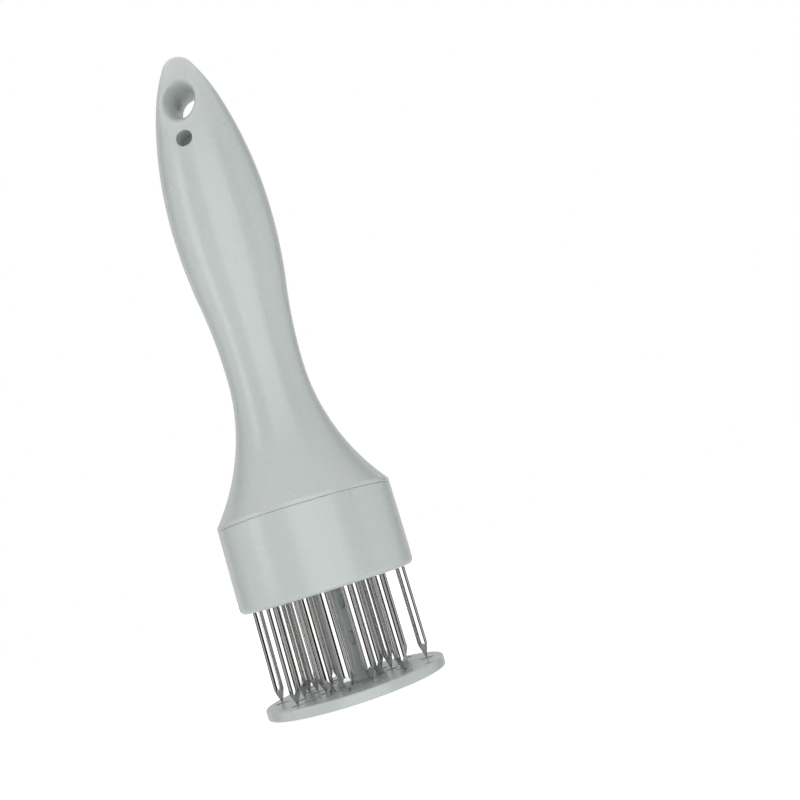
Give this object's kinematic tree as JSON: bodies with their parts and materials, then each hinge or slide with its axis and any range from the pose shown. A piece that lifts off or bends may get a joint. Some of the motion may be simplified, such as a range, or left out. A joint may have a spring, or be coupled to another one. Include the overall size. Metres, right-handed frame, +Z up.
{
  "type": "blade meat tenderizer",
  "caption": "Hand-held plunger meat tenderizer: a waisted handle with a hang hole, a round head of pointed blades, and a sprung guard disc.",
  "frame": {"origin": "middle of the guard disc's underside, on the surface the tool stands on", "axes": "+Z up along the tool's axis to the end of the handle; -Y is the handle's front, with the hang hole running along Y"},
  "size_m": [0.055, 0.055, 0.2102],
  "materials": {
    "pale_plastic": "gloss, cool grey-white",
    "inner_plastic": "satin",
    "blade_steel": "polished along its length",
    "screw_steel": "satin",
    "spring_steel": "drawn wire"
  },
  "bodies": {
    "tool": {"handle": "pale_plastic", "blade_head": "pale_plastic", "clamp_plate": "inner_plastic", "clamp_screws": "screw_steel", "outer_blade_1": "blade_steel", "outer_blade_2": "blade_steel", "outer_blade_3": "blade_steel", "outer_blade_4": "blade_steel", "outer_blade_5": "blade_steel", "outer_blade_6": "blade_steel", "outer_blade_7": "blade_steel", "outer_blade_8": "blade_steel", "middle_blade_1": "blade_steel", "middle_blade_2": "blade_steel", "middle_blade_3": "blade_steel", "middle_blade_4": "blade_steel", "middle_blade_5": "blade_steel", "middle_blade_6": "blade_steel", "middle_blade_7": "blade_steel", "middle_blade_8": "blade_steel", "inner_blade_1": "blade_steel", "inner_blade_2": "blade_steel", "inner_blade_3": "blade_steel", "inner_blade_4": "blade_steel", "inner_blade_5": "blade_steel", "inner_blade_6": "blade_steel", "inner_blade_7": "blade_steel", "inner_blade_8": "blade_steel", "return_spring": "spring_steel"},
    "guard": {"guard": "pale_plastic", "stem_washer": "screw_steel", "stem_screw": "screw_steel"}
  },
  "joints": [
    {"name": "guard_slide", "type": "slide", "parent": "tool", "child": "guard", "axis": [0, 0, 1], "range_m": [0, 0.028], "stiffness_N_per_m": 350, "springref_m": -0.028, "deforming": ["return_spring"]}
  ]
}
